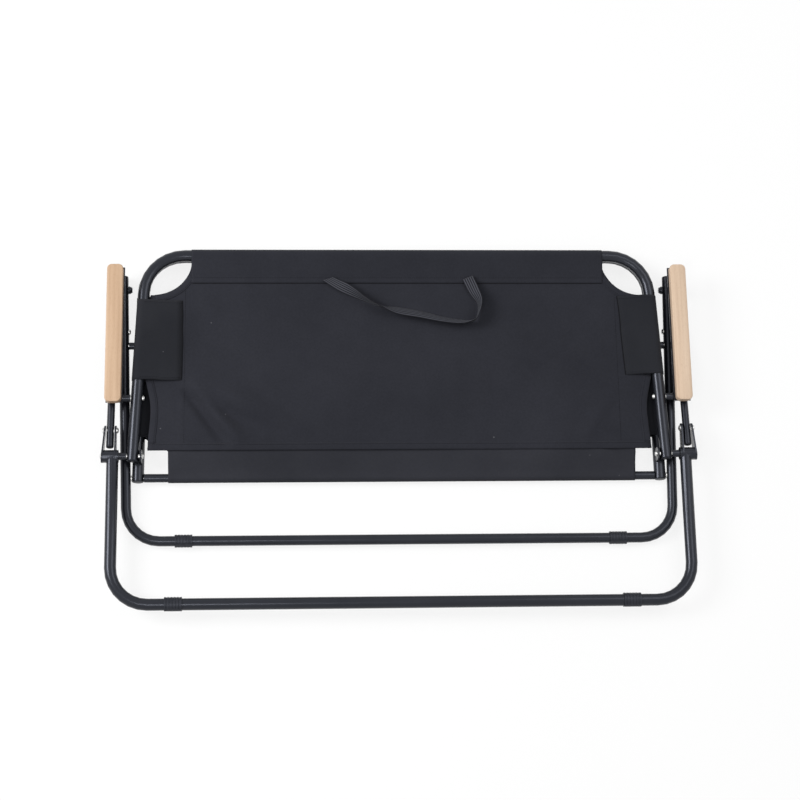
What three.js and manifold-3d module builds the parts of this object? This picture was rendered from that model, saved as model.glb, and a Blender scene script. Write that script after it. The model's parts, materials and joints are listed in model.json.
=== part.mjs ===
// A two-seat folding camping chair, folded flat and lying on the floor with the back of its backrest up.
// Sizes are in millimetres. While the pieces are made, y runs from the back hinge towards the seat's front
// edge and z is the height over the floor; the finished chair is then centred on y.
import * as THREE from 'three';
import { mergeVertices } from 'three/addons/utils/BufferGeometryUtils.js';
import Module from 'manifold-3d';

const wasm = await Module();
wasm.setup();

// Tubes and rods
const TUBE_RADIUS = 11;
const FRONT_TUBE_RADIUS = 9.5;
const TUBE_WALL = 1.2;
const ROD_RADIUS = 8;
const LINK_RADIUS = 7;
const TUBE_SIDES = 16;
const BORE_SIDES = 8;
const BEND_STEPS = 7;
const DRILL_REACH = 40;

// Clearances
const SEAT_GAP = 0.3;
const HOLE_GAP = 0.3;
const LEG_GAP = 1.8;
const REAR_LEG_GAP = 1;
const LINK_GAP = 2.2;
const ARM_GAP = 1.3;
const PLATE_GAP = 2.5;
const FOLD_GAP = 4;
const LINK_END_GAP = 3;
const CLOTH_GAP = 1.5;
const CUT_OVERRUN = 1;

// Widths, measured from the middle of the chair to a tube's centre line
const SEAT_HALF_WIDTH = 487;
const BACK_OFFSET = 8;
const SEAT_TAPER = 0.0118;
const BACK_TAPER = 0.0496;
const FRONT_LEG_SPLAY = 0.03;

// Lengths, measured from the back hinge
const SEAT_DEPTH = 394;
const SEAT_TAIL = 42;
const REAR_ROD_SETBACK = 36;
const BACK_HEIGHT = 388;
const BACK_TAIL = 8;
const FRONT_LEG_TIP = 25;
const FRONT_LEG_REACH = 154;
const REAR_LEG_REACH = 274;
const SEAT_BEND = 76;
const BACK_BEND = 76;
const FRONT_LEG_BEND = 62;
const REAR_LEG_BEND = 68;

// Linkage: the seat, front leg, armrest and back form a parallelogram with sides LEG_PIVOT and CRANK
const LEG_PIVOT = 218;
const CRANK = 110;
const HORN = 48.75;
const LINK_CRANK = 27;
const LINK_NOSE = 9;

// Hinge hardware
const PIN_RADIUS = 4;
const SMALL_PIN_RADIUS = 2.5;
const SPACER_RADIUS = 7;
const HEAD_RADIUS = 5.5;
const HEAD_HEIGHT = 3.2;
const FLAT_HEAD_HEIGHT = 2.2;
const ROD_HEAD_HEIGHT = 1.2;
const KNOB_RADIUS = 7.5;
const KNOB_HEIGHT = 7;
const PLATE_THICKNESS = 3;
const PLATE_RADIUS = 12;
const BARREL_RADIUS = 12;
const HORN_RADIUS = 9;
const ARM_FLARE = 4;
const ROD_SCREW_DEPTH = 18;
const HEAD_SHOULDER = 0.35;
const HORN_HEAD_SHOULDER = 0.5;
const HORN_HEAD_CROWN = 0.6;
const HARDWARE_SIDES = 12;
const PLATE_SEGMENTS = 10;

// Foot sleeves
const FOOT_WALL = 2.5;
const FOOT_RIB = 0.7;
const FOOT_LENGTH = 34;
const FOOT_RIBS = 6;
const RIB_SHARE = 0.6;
const GROOVE_START = 0.7;
const GROOVE_END = 0.9;
const FRONT_FOOT_X = 403;
const REAR_FOOT_X = 419;
const SOLE_DEPTH = 1.3;
const FRONT_SOLE_ANGLE = 148;
const REAR_SOLE_ANGLE = 185;

// Tube end plugs
const PLUG_DEPTH = 10;
const PLUG_HEAD = 2;
const PLUG_SHOULDER = { radius: 0.93, height: 0.6 };
const PLUG_CROWN = 0.7;

// Armrests
const RAIL_LIFT = 6;
const RAIL_THICKNESS = 3;
const RAIL_WIDTH = 31;
const RAIL_INSET = 17;
const RAIL_REAR = 100;
const RAIL_FRONT = 362;
const LUG_RADIUS = 10;
const LUG_GAP = 0.6;
const WOOD_WIDTH = 30;
const WOOD_LENGTH = 266;
const WOOD_THICKNESS = 17;
const WOOD_CORNER = 9;
const WOOD_EDGE = 2;
const WOOD_OFFSET = 1.5;
const SCREW_RADIUS = 2;
const SCREW_DEPTH = 11;
const SCREW_HEAD_RADIUS = 4;
const SCREW_HEAD_TAPER = 0.7;
const SCREW_INSET = 70;

// Cloth and webbing
const CLOTH_THICKNESS = 3;
const BACK_HEM = 11;
const BACK_HEM_HALF_WIDTH = 466;
const BACK_FULL_WIDTH_AT = 150;
const SEAT_FULL_WIDTH_AT = 50;
const STRIP_THICKNESS = 2;
const STRIP_HALF_WIDTH = 439;
const STRIP_FRONT = 20;
const STRAP_WIDTH = 21;
const STRAP_THICKNESS = 1.6;
const STRAP_STEPS = 28;
const STRAP_ROUTE = [
  [-140, 336], [-88, 314], [-41, 289], [54, 260], [128, 252], [150, 268], [152, 296], [138, 346],
];

// Heights and pivots that follow from the sizes above
const SEAT_Z = FRONT_TUBE_RADIUS + FOOT_WALL;
const BACK_Z = SEAT_Z + 2 * TUBE_RADIUS + FOLD_GAP;
const RAIL_Z = BACK_Z + RAIL_LIFT;
const WOOD_Z = RAIL_Z + RAIL_THICKNESS + SEAT_GAP;
const HINGE = { y: 0, z: BACK_Z };
const LEG_PIN = { y: LEG_PIVOT, z: SEAT_Z };
const KNOB_PIN = { y: LEG_PIVOT + CRANK, z: SEAT_Z };
const ARM_PIN = { y: CRANK, z: BACK_Z };
const HORN_PIN = { y: HORN, z: BACK_Z };
const FRONT_LEG_TOP = KNOB_PIN.y + FRONT_LEG_TIP;
const LINK_PIN = { y: LEG_PIVOT + LINK_CRANK, z: SEAT_Z };
const LINK_TAIL = HORN - BARREL_RADIUS - PLUG_HEAD - LINK_END_GAP;
const ROD_PIN = { y: -REAR_ROD_SETBACK, z: SEAT_Z };

// Side positions: the front leg lies outside the seat tube, the rear leg and link rod outside the front leg
const seatX = (y) => SEAT_HALF_WIDTH - SEAT_TAPER * (y + SEAT_TAIL);
const backX = (y) => SEAT_HALF_WIDTH + BACK_OFFSET - BACK_TAPER * y;
const frontLegX = (y) => (
  SEAT_HALF_WIDTH + TUBE_RADIUS + LEG_GAP + FRONT_TUBE_RADIUS + FRONT_LEG_SPLAY * (y + SEAT_TAIL)
);
const REAR_LEG_X = frontLegX(0) + FRONT_TUBE_RADIUS + REAR_LEG_GAP + TUBE_RADIUS;
const LINK_X = frontLegX(LINK_PIN.y) + FRONT_TUBE_RADIUS + LINK_GAP + LINK_RADIUS;
const PLATE_X = backX(0) - TUBE_RADIUS - PLATE_GAP - PLATE_THICKNESS;
const INNER_ARM_X = LINK_X - LINK_RADIUS - ARM_GAP - PLATE_THICKNESS;
const OUTER_ARM_X = LINK_X + LINK_RADIUS + ARM_GAP;
const BARREL_INNER_X = REAR_LEG_X - TUBE_RADIUS;
const BARREL_OUTER_X = OUTER_ARM_X + ARM_FLARE + PLATE_THICKNESS;
const RAIL_X = REAR_LEG_X - RAIL_INSET;
const FRONT_LUG_X = frontLegX(FRONT_LEG_TOP) + FRONT_TUBE_RADIUS + LUG_GAP;
const WOOD_X = RAIL_X + RAIL_WIDTH / 2 + WOOD_OFFSET;
const WOOD_Y = (RAIL_REAR + RAIL_FRONT) / 2;

// Materials
function finish(color, roughness, metalness) {
  return new THREE.MeshStandardMaterial({ color, roughness, metalness });
}
const paint = finish(0x1b1b1d, 0.45, 0.1);
const cloth = finish(0x1d1e22, 0.9, 0);
const webbing = finish(0x18181a, 0.85, 0);
const beech = finish(0xcdaf8c, 0.55, 0);
const zinc = finish(0xb9bbbd, 0.35, 1);
const rubber = finish(0x151516, 0.75, 0);

// Solids: three.js geometry in, joined and cut, and geometry out
function toSolid(geometry) {
  const bare = geometry.clone();
  bare.deleteAttribute('normal');
  bare.deleteAttribute('uv');
  const merged = mergeVertices(bare, 1e-4);
  const corners = merged.index.array;
  const triangles = [];
  for (let i = 0; i < corners.length; i += 3) {
    const [a, b, c] = corners.slice(i, i + 3);
    if (a !== b && b !== c && c !== a) triangles.push(a, b, c);
  }
  return new wasm.Manifold(new wasm.Mesh({
    numProp: 3,
    vertProperties: new Float32Array(merged.attributes.position.array),
    triVerts: new Uint32Array(triangles),
  }));
}

function toGeometry(solid) {
  const mesh = solid.getMesh();
  const geometry = new THREE.BufferGeometry();
  geometry.setAttribute('position', new THREE.BufferAttribute(new Float32Array(mesh.vertProperties), 3));
  geometry.setIndex(new THREE.BufferAttribute(new Uint32Array(mesh.triVerts), 1));
  return geometry;
}

function mirrored(geometry) {
  const copy = geometry.index ? geometry.toNonIndexed() : geometry.clone();
  copy.scale(-1, 1, 1);
  const position = copy.attributes.position;
  for (let i = 0; i < position.count; i += 3) {
    const second = new THREE.Vector3().fromBufferAttribute(position, i + 1);
    const third = new THREE.Vector3().fromBufferAttribute(position, i + 2);
    position.setXYZ(i + 1, third.x, third.y, third.z);
    position.setXYZ(i + 2, second.x, second.y, second.z);
  }
  copy.deleteAttribute('normal');
  return copy;
}

// A tube's centre line: straight runs between corner points, with each inner corner rounded to one radius
class BentLine extends THREE.Curve {
  constructor(corners, bend, overrun = 0) {
    super();
    const points = corners.map(([x, y, z]) => new THREE.Vector3(x, y, z));
    const last = points.length - 1;
    const start = points[0].clone().sub(points[1]).setLength(overrun);
    const end = points[last].clone().sub(points[last - 1]).setLength(overrun);
    this.stations = [points[0].clone().add(start)];
    for (let i = 1; i < last; i += 1) this.addBend(points[i - 1], points[i], points[i + 1], bend);
    this.stations.push(points[last].clone().add(end));
  }

  addBend(before, corner, after, bend) {
    const back = before.clone().sub(corner).normalize();
    const ahead = after.clone().sub(corner).normalize();
    const half = back.angleTo(ahead) / 2;
    const centre = back.clone().add(ahead).setLength(bend / Math.sin(half)).add(corner);
    const from = back.clone().setLength(bend / Math.tan(half)).add(corner).sub(centre);
    const axis = back.clone().cross(ahead).normalize();
    const turn = -(Math.PI - 2 * half);
    for (let step = 0; step <= BEND_STEPS; step += 1) {
      this.stations.push(from.clone().applyAxisAngle(axis, (turn * step) / BEND_STEPS).add(centre));
    }
  }

  get steps() {
    return this.stations.length - 1;
  }

  getPointAt(u) {
    return this.stations[Math.round(u * this.steps)].clone();
  }

  getTangentAt(u) {
    const i = Math.round(u * this.steps);
    const before = this.stations[Math.max(i - 1, 0)];
    const here = this.stations[i];
    const after = this.stations[Math.min(i + 1, this.steps)];
    const arriving = here.clone().sub(before).normalize();
    const leaving = after.clone().sub(here).normalize();
    return arriving.add(leaving).normalize();
  }
}

function circle(radius, sides) {
  const points = [];
  for (let i = 0; i < sides; i += 1) {
    const angle = (2 * Math.PI * i) / sides;
    points.push(new THREE.Vector2(radius * Math.cos(angle), radius * Math.sin(angle)));
  }
  return new THREE.Shape(points);
}

function rod(corners, bend, radius, sides, overrun = 0) {
  const line = new BentLine(corners, bend, overrun);
  const section = circle(radius, sides);
  return toSolid(new THREE.ExtrudeGeometry(section, { steps: line.steps, extrudePath: line }));
}

// A turned piece: its outline is a list of [x, radius] points along an axis parallel to X
function turned(outline, { y, z }, sides = HARDWARE_SIDES) {
  const points = outline.map(([x, radius]) => new THREE.Vector2(radius, x));
  const geometry = new THREE.LatheGeometry(points, sides);
  geometry.rotateZ(-Math.PI / 2);
  geometry.translate(0, y, z);
  return geometry;
}

function drill(pin, radius, from, to) {
  return toSolid(turned([[from, 0], [from, radius], [to, radius], [to, 0]], pin));
}

// A flat plate standing across X, cut to an outline drawn in y and z
function plate(shape, x, thickness) {
  const options = { depth: thickness, bevelEnabled: false, curveSegments: PLATE_SEGMENTS };
  const geometry = new THREE.ExtrudeGeometry(shape, options);
  geometry.applyMatrix4(new THREE.Matrix4().set(
    0, 0, 1, x,
    1, 0, 0, 0,
    0, 1, 0, 0,
    0, 0, 0, 1,
  ));
  return toSolid(geometry);
}

// The outline of a belt round two circles that sit level with each other
function strapOutline(from, fromRadius, to, toRadius) {
  const lean = Math.asin((fromRadius - toRadius) / (to.y - from.y));
  const shape = new THREE.Shape();
  shape.absarc(to.y, to.z, toRadius, lean - Math.PI / 2, Math.PI / 2 - lean, false);
  shape.absarc(from.y, from.z, fromRadius, Math.PI / 2 - lean, (3 * Math.PI) / 2 + lean, false);
  return shape;
}

// The outline of a lug: straight sides from a level edge to a round end about a pin
function lugOutline(pin, radius, edgeZ) {
  const shape = new THREE.Shape();
  const rising = edgeZ > pin.z;
  shape.moveTo(pin.y + radius, edgeZ);
  shape.lineTo(pin.y + radius, pin.z);
  shape.absarc(pin.y, pin.z, radius, 0, Math.PI, rising);
  shape.lineTo(pin.y - radius, edgeZ);
  return shape;
}

// A rivet along X with a rounded head at each end; the faces under its heads lie at from and to
function rivet(pin, from, to, radius, fromHead, toHead) {
  const crown = 1 - HEAD_SHOULDER;
  return turned([
    [from - fromHead.height, 0],
    [from - fromHead.height, fromHead.radius * crown],
    [from - fromHead.height * HEAD_SHOULDER, fromHead.radius],
    [from, fromHead.radius],
    [from, radius],
    [to, radius],
    [to, toHead.radius],
    [to + toHead.height * HEAD_SHOULDER, toHead.radius],
    [to + toHead.height, toHead.radius * crown],
    [to + toHead.height, 0],
  ], pin);
}

function spacer(pin, from, to, outer, inner) {
  return turned([[from, inner], [from, outer], [to, outer], [to, inner], [from, inner]], pin);
}

const domeHead = { radius: HEAD_RADIUS, height: HEAD_HEIGHT };
const flatHead = { radius: HEAD_RADIUS, height: FLAT_HEAD_HEIGHT };
const rodHead = { radius: HEAD_RADIUS, height: ROD_HEAD_HEIGHT };
const knobHead = { radius: KNOB_RADIUS, height: KNOB_HEIGHT };
const PIN_HOLE = PIN_RADIUS + HOLE_GAP;
const SMALL_HOLE = SMALL_PIN_RADIUS + HOLE_GAP;

// The chair and its pieces
const loveseat = new THREE.Group();

function add(name, geometry, material) {
  const mesh = new THREE.Mesh(geometry, material);
  mesh.name = name;
  loveseat.add(mesh);
}

// Right is +X; the left piece is the right one mirrored
function addPair(name, geometry, material) {
  add(`${name}_right`, geometry, material);
  add(`${name}_left`, mirrored(geometry), material);
}

const cutAway = (blank, cutters) => cutters.reduce((left, cutter) => left.subtract(cutter), blank);
const joinAll = (first, others) => others.reduce((joined, piece) => joined.add(piece), first);

// A bent tube with its bore, and with holes drilled across both side runs
function bentFrame(corners, bend, radius, pins, welded = []) {
  const outside = joinAll(rod(corners, bend, radius, TUBE_SIDES), welded);
  const bore = rod(corners, bend, radius - TUBE_WALL, BORE_SIDES, CUT_OVERRUN);
  const reach = corners[0][0] + DRILL_REACH;
  const across = pins.map(({ pin, hole }) => drill(pin, hole, -reach, reach));
  return toGeometry(cutAway(outside, [bore, ...across]));
}

function bothSides(solid) {
  return [solid, toSolid(mirrored(toGeometry(solid)))];
}

function uCorners(sideX, z, start, end) {
  return [
    [sideX(start), start, z],
    [sideX(end), end, z],
    [-sideX(end), end, z],
    [-sideX(start), start, z],
  ];
}

// Seat frame with the two plates that carry the back hinge
const hingePlate = plate(lugOutline(HINGE, PLATE_RADIUS, SEAT_Z), PLATE_X, PLATE_THICKNESS);
add('seat_frame', bentFrame(
  uCorners(seatX, SEAT_Z, -SEAT_TAIL, SEAT_DEPTH),
  SEAT_BEND,
  TUBE_RADIUS,
  [{ pin: LEG_PIN, hole: PIN_HOLE }, { pin: ROD_PIN, hole: SMALL_HOLE }, { pin: HINGE, hole: PIN_HOLE }],
  bothSides(hingePlate),
), paint);

const rodEnd = seatX(ROD_PIN.y) - TUBE_RADIUS - SEAT_GAP;
const rodTapping = drill(ROD_PIN, SMALL_HOLE, rodEnd - ROD_SCREW_DEPTH - CUT_OVERRUN, rodEnd + CUT_OVERRUN);
const rodLine = [[rodEnd, ROD_PIN.y, ROD_PIN.z], [-rodEnd, ROD_PIN.y, ROD_PIN.z]];
const rodBlank = rod(rodLine, 0, ROD_RADIUS, TUBE_SIDES);
add('seat_rear_rod', toGeometry(cutAway(rodBlank, bothSides(rodTapping))), paint);
const rodFace = seatX(ROD_PIN.y) + TUBE_RADIUS + SEAT_GAP;
addPair('rear_rod_screw', turned([
  [rodEnd - ROD_SCREW_DEPTH, 0],
  [rodEnd - ROD_SCREW_DEPTH, SMALL_PIN_RADIUS],
  [rodFace, SMALL_PIN_RADIUS],
  [rodFace, rodHead.radius],
  [rodFace + rodHead.height, rodHead.radius],
  [rodFace + rodHead.height, 0],
], ROD_PIN), zinc);

// Back frame
add('back_frame', bentFrame(
  uCorners(backX, BACK_Z, -BACK_TAIL, BACK_HEIGHT),
  BACK_BEND,
  TUBE_RADIUS,
  [{ pin: HINGE, hole: PIN_HOLE }, { pin: ARM_PIN, hole: PIN_HOLE }],
), paint);

// Front leg, inside the rear leg
add('front_leg', bentFrame(
  uCorners(frontLegX, SEAT_Z, FRONT_LEG_TOP, -FRONT_LEG_REACH),
  FRONT_LEG_BEND,
  FRONT_TUBE_RADIUS,
  [KNOB_PIN, LEG_PIN, LINK_PIN].map((pin) => ({ pin, hole: PIN_HOLE })),
), paint);

// Rear leg: a barrel on the hinge, and a clevis that drives the link rod
const flareDirection = ARM_FLARE / HORN;
const flareFoot = OUTER_ARM_X + ARM_FLARE + flareDirection * PLATE_RADIUS;
const flareTip = OUTER_ARM_X - flareDirection * HORN_RADIUS;
const flareShape = new THREE.Shape([
  new THREE.Vector2(flareFoot, -PLATE_RADIUS),
  new THREE.Vector2(flareFoot + PLATE_THICKNESS, -PLATE_RADIUS),
  new THREE.Vector2(flareTip + PLATE_THICKNESS, HORN + HORN_RADIUS),
  new THREE.Vector2(flareTip, HORN + HORN_RADIUS),
]);
const flareDepth = 2 * (PLATE_RADIUS + CUT_OVERRUN);
const flareBlank = new THREE.ExtrudeGeometry(flareShape, { depth: flareDepth, bevelEnabled: false });
flareBlank.translate(0, 0, BACK_Z - flareDepth / 2);
const armOutline = strapOutline(HINGE, PLATE_RADIUS, HORN_PIN, HORN_RADIUS);
const innerArm = plate(armOutline, INNER_ARM_X, PLATE_THICKNESS);
const outerArm = plate(armOutline, OUTER_ARM_X - TUBE_RADIUS, DRILL_REACH).intersect(toSolid(flareBlank));
const barrel = drill(HINGE, BARREL_RADIUS, BARREL_INNER_X, BARREL_OUTER_X);
const clevis = joinAll(barrel, [innerArm, outerArm]);
add('rear_leg', bentFrame(
  uCorners(() => REAR_LEG_X, BACK_Z, 0, -REAR_LEG_REACH),
  REAR_LEG_BEND,
  TUBE_RADIUS,
  [{ pin: HINGE, hole: PIN_HOLE }, { pin: HORN_PIN, hole: PIN_HOLE }],
  bothSides(clevis),
), paint);

// Hinge hardware
const backOuter = (y) => backX(y) + TUBE_RADIUS;
const backInner = (y) => backX(y) - TUBE_RADIUS;
const frontOuter = (y) => frontLegX(y) + FRONT_TUBE_RADIUS;
const frontInner = (y) => frontLegX(y) - FRONT_TUBE_RADIUS;

addPair('hinge_rivet', rivet(
  HINGE,
  PLATE_X - SEAT_GAP,
  BARREL_OUTER_X + SEAT_GAP + flareDirection * HEAD_RADIUS,
  PIN_RADIUS,
  domeHead,
  flatHead,
), zinc);
addPair('hinge_spacer', spacer(
  HINGE, backOuter(-SPACER_RADIUS) + SEAT_GAP, BARREL_INNER_X - SEAT_GAP, SPACER_RADIUS, PIN_HOLE,
), paint);
addPair('leg_pivot_rivet', rivet(
  LEG_PIN,
  seatX(LEG_PIN.y) - TUBE_RADIUS - SEAT_GAP,
  frontOuter(LEG_PIN.y) + SEAT_GAP,
  PIN_RADIUS,
  domeHead,
  flatHead,
), zinc);
addPair('leg_pivot_spacer', spacer(
  LEG_PIN,
  seatX(LEG_PIN.y) + TUBE_RADIUS + SEAT_GAP,
  frontInner(LEG_PIN.y) - SEAT_GAP,
  SPACER_RADIUS,
  PIN_HOLE,
), paint);
addPair('armrest_pivot_bolt', rivet(
  KNOB_PIN,
  frontInner(KNOB_PIN.y) - SEAT_GAP,
  FRONT_LUG_X + PLATE_THICKNESS + SEAT_GAP,
  PIN_RADIUS,
  knobHead,
  domeHead,
), paint);
addPair('armrest_rear_rivet', rivet(
  ARM_PIN,
  backInner(ARM_PIN.y) - SEAT_GAP,
  RAIL_X + PLATE_THICKNESS + SEAT_GAP,
  PIN_RADIUS,
  domeHead,
  domeHead,
), zinc);
addPair('armrest_rear_spacer', spacer(
  ARM_PIN,
  backOuter(ARM_PIN.y - SPACER_RADIUS) + SEAT_GAP,
  RAIL_X - SEAT_GAP,
  SPACER_RADIUS,
  PIN_HOLE,
), paint);
addPair('link_rivet', rivet(
  LINK_PIN,
  frontInner(LINK_PIN.y) - SEAT_GAP,
  LINK_X + LINK_RADIUS + SEAT_GAP,
  PIN_RADIUS,
  domeHead,
  domeHead,
), zinc);
addPair('link_washer', spacer(
  LINK_PIN,
  frontOuter(LINK_PIN.y + SPACER_RADIUS) + SEAT_GAP,
  LINK_X - LINK_RADIUS - SEAT_GAP,
  SPACER_RADIUS,
  PIN_HOLE,
), rubber);

// The horn rivets end flush with the inner faces of their arms, so the link rod runs free between them
function hornRivet(from, to, outward) {
  const headX = outward > 0 ? to + SEAT_GAP : from - SEAT_GAP;
  const flush = outward > 0 ? from : to;
  const outline = [
    [flush, 0],
    [flush, PIN_RADIUS],
    [headX, PIN_RADIUS],
    [headX, HEAD_RADIUS],
    [headX + outward * HEAD_HEIGHT * HORN_HEAD_SHOULDER, HEAD_RADIUS],
    [headX + outward * HEAD_HEIGHT, HEAD_RADIUS * HORN_HEAD_CROWN],
    [headX + outward * HEAD_HEIGHT, 0],
  ];
  return turned(outward > 0 ? outline : outline.reverse(), HORN_PIN);
}
addPair('horn_rivet_outer', hornRivet(
  OUTER_ARM_X + flareDirection * PIN_RADIUS,
  OUTER_ARM_X + PLATE_THICKNESS + flareDirection * HEAD_RADIUS,
  1,
), zinc);
addPair('horn_rivet_inner', hornRivet(INNER_ARM_X, INNER_ARM_X + PLATE_THICKNESS, -1), zinc);

// Link rods from the horn pin down to the front leg
const linkAlong = new THREE.Vector2(LINK_PIN.y - HORN_PIN.y, LINK_PIN.z - HORN_PIN.z).normalize();
const linkPoint = (pin, distance) => [LINK_X, pin.y + linkAlong.x * distance, pin.z + linkAlong.y * distance];
const linkTail = linkPoint(HORN_PIN, -LINK_TAIL);
const linkNose = linkPoint(LINK_PIN, LINK_NOSE);
const linkTube = rod([linkTail, linkNose], 0, LINK_RADIUS, TUBE_SIDES);
const linkBore = rod([linkTail, linkNose], 0, LINK_RADIUS - TUBE_WALL, BORE_SIDES, CUT_OVERRUN);
const linkSide = LINK_RADIUS + CUT_OVERRUN;
const linkDrill = (pin) => drill(pin, PIN_HOLE, LINK_X - linkSide, LINK_X + linkSide);
const linkHoles = [HORN_PIN, LINK_PIN].map(linkDrill);
addPair('link_rod', toGeometry(cutAway(linkTube, [linkBore, ...linkHoles])), paint);

// Tube end plugs: a stem in the bore and a domed head over the end; `outward` points out of the tube
function plug(end, outward, tubeRadius, depth) {
  const boreFlat = (tubeRadius - TUBE_WALL) * Math.cos(Math.PI / BORE_SIDES);
  const stem = boreFlat - SEAT_GAP;
  const points = [
    new THREE.Vector2(0, -depth),
    new THREE.Vector2(stem, -depth),
    new THREE.Vector2(stem, SEAT_GAP),
    new THREE.Vector2(tubeRadius, SEAT_GAP),
    new THREE.Vector2(tubeRadius * PLUG_SHOULDER.radius, SEAT_GAP + PLUG_HEAD * PLUG_SHOULDER.height),
    new THREE.Vector2(tubeRadius * PLUG_CROWN, SEAT_GAP + PLUG_HEAD),
    new THREE.Vector2(0, SEAT_GAP + PLUG_HEAD),
  ];
  const geometry = new THREE.LatheGeometry(points, HARDWARE_SIDES);
  const direction = new THREE.Vector3(...outward).normalize();
  geometry.applyQuaternion(new THREE.Quaternion().setFromUnitVectors(new THREE.Vector3(0, 1, 0), direction));
  geometry.translate(...end);
  return geometry;
}
addPair('seat_tube_plug', plug(
  [seatX(-SEAT_TAIL), -SEAT_TAIL, SEAT_Z],
  [SEAT_TAPER, -1, 0],
  TUBE_RADIUS,
  SEAT_TAIL - REAR_ROD_SETBACK - SMALL_HOLE - SEAT_GAP,
), rubber);
addPair('back_tube_plug', plug(
  [backX(-BACK_TAIL), -BACK_TAIL, BACK_Z],
  [BACK_TAPER, -1, 0],
  TUBE_RADIUS,
  BACK_TAIL - PIN_HOLE - SEAT_GAP,
), rubber);
addPair('front_leg_plug', plug(
  [frontLegX(FRONT_LEG_TOP), FRONT_LEG_TOP, SEAT_Z],
  [FRONT_LEG_SPLAY, 1, 0],
  FRONT_TUBE_RADIUS,
  PLUG_DEPTH,
), rubber);
addPair('link_tail_plug', plug(linkTail, [0, -linkAlong.x, -linkAlong.y], LINK_RADIUS, PLUG_DEPTH), rubber);
addPair('link_nose_plug', plug(
  linkNose,
  [0, linkAlong.x, linkAlong.y],
  LINK_RADIUS,
  LINK_NOSE - PIN_HOLE - SEAT_GAP,
), rubber);

// Ribbed foot sleeves with a flat sole; the sole's angle is measured from +y towards +z
function foot(x, bar, tubeRadius, soleAngle) {
  const bore = tubeRadius + SEAT_GAP;
  const outer = tubeRadius + FOOT_WALL;
  const groove = outer - FOOT_RIB;
  const pitch = FOOT_LENGTH / FOOT_RIBS;
  const start = x - FOOT_LENGTH / 2;
  const outline = [[start, bore]];
  for (let rib = 0; rib < FOOT_RIBS; rib += 1) {
    const at = start + rib * pitch;
    outline.push([at, outer], [at + pitch * RIB_SHARE, outer]);
    if (rib < FOOT_RIBS - 1) {
      outline.push([at + pitch * GROOVE_START, groove], [at + pitch * GROOVE_END, groove]);
    }
  }
  outline.push([start + FOOT_LENGTH - pitch * (1 - RIB_SHARE), bore], [start, bore]);
  const sleeve = toSolid(turned(outline, bar, TUBE_SIDES));
  const cutter = new THREE.BoxGeometry(FOOT_LENGTH * 2, tubeRadius, tubeRadius * 4);
  cutter.translate(x, outer - SOLE_DEPTH + tubeRadius / 2, 0);
  cutter.rotateX(THREE.MathUtils.degToRad(soleAngle));
  cutter.translate(0, bar.y, bar.z);
  return toGeometry(sleeve.subtract(toSolid(cutter)));
}
const frontBar = { y: -FRONT_LEG_REACH, z: SEAT_Z };
const rearBar = { y: -REAR_LEG_REACH, z: BACK_Z };
addPair('front_foot', foot(FRONT_FOOT_X, frontBar, FRONT_TUBE_RADIUS, FRONT_SOLE_ANGLE), rubber);
addPair('rear_foot', foot(REAR_FOOT_X, rearBar, TUBE_RADIUS, REAR_SOLE_ANGLE), rubber);

// Armrests: a wooden rest screwed to a steel rail with one lug to the front leg and one to the back
const railBar = new THREE.BoxGeometry(RAIL_WIDTH, RAIL_FRONT - RAIL_REAR, RAIL_THICKNESS);
railBar.translate(RAIL_X + RAIL_WIDTH / 2, WOOD_Y, RAIL_Z + RAIL_THICKNESS / 2);
const lugTop = RAIL_Z + RAIL_THICKNESS / 2;
const frontLug = plate(lugOutline(KNOB_PIN, LUG_RADIUS, lugTop), FRONT_LUG_X, PLATE_THICKNESS);
const rearLug = plate(lugOutline(ARM_PIN, LUG_RADIUS, lugTop), RAIL_X, PLATE_THICKNESS);
const screwHoles = [];
const screwSpots = [RAIL_REAR + SCREW_INSET, RAIL_FRONT - SCREW_INSET];

function uprightTurned(outline, x, y, z) {
  const points = outline.map(([height, radius]) => new THREE.Vector2(radius, height));
  const geometry = new THREE.LatheGeometry(points, HARDWARE_SIDES);
  geometry.rotateX(Math.PI / 2);
  geometry.translate(x, y, z);
  return geometry;
}

for (const spot of screwSpots) {
  const hole = SCREW_RADIUS + HOLE_GAP;
  const low = -CUT_OVERRUN;
  const top = RAIL_THICKNESS + SEAT_GAP + SCREW_DEPTH + CUT_OVERRUN;
  const outline = [[low, 0], [low, hole], [top, hole], [top, 0]];
  screwHoles.push(toSolid(uprightTurned(outline, WOOD_X, spot, RAIL_Z)));
}
const railBlank = joinAll(toSolid(railBar), [frontLug, rearLug]);
const railPins = [
  drill(KNOB_PIN, PIN_HOLE, FRONT_LUG_X - CUT_OVERRUN, FRONT_LUG_X + PLATE_THICKNESS + CUT_OVERRUN),
  drill(ARM_PIN, PIN_HOLE, RAIL_X - CUT_OVERRUN, RAIL_X + PLATE_THICKNESS + CUT_OVERRUN),
];
addPair('armrest_rail', toGeometry(cutAway(railBlank, [...railPins, ...screwHoles])), paint);

const woodOutline = new THREE.Shape();
const woodHalf = WOOD_WIDTH / 2 - WOOD_EDGE;
const woodLong = WOOD_LENGTH / 2 - WOOD_EDGE;
const woodRound = WOOD_CORNER - WOOD_EDGE;
woodOutline.absarc(woodHalf - woodRound, woodLong - woodRound, woodRound, 0, Math.PI / 2, false);
woodOutline.absarc(woodRound - woodHalf, woodLong - woodRound, woodRound, Math.PI / 2, Math.PI, false);
woodOutline.absarc(woodRound - woodHalf, woodRound - woodLong, woodRound, Math.PI, Math.PI * 1.5, false);
woodOutline.absarc(woodHalf - woodRound, woodRound - woodLong, woodRound, Math.PI * 1.5, Math.PI * 2, false);
const woodBlank = new THREE.ExtrudeGeometry(woodOutline, {
  depth: WOOD_THICKNESS - 2 * WOOD_EDGE,
  bevelThickness: WOOD_EDGE,
  bevelSize: WOOD_EDGE,
  bevelSegments: 2,
  curveSegments: 5,
});
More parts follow.
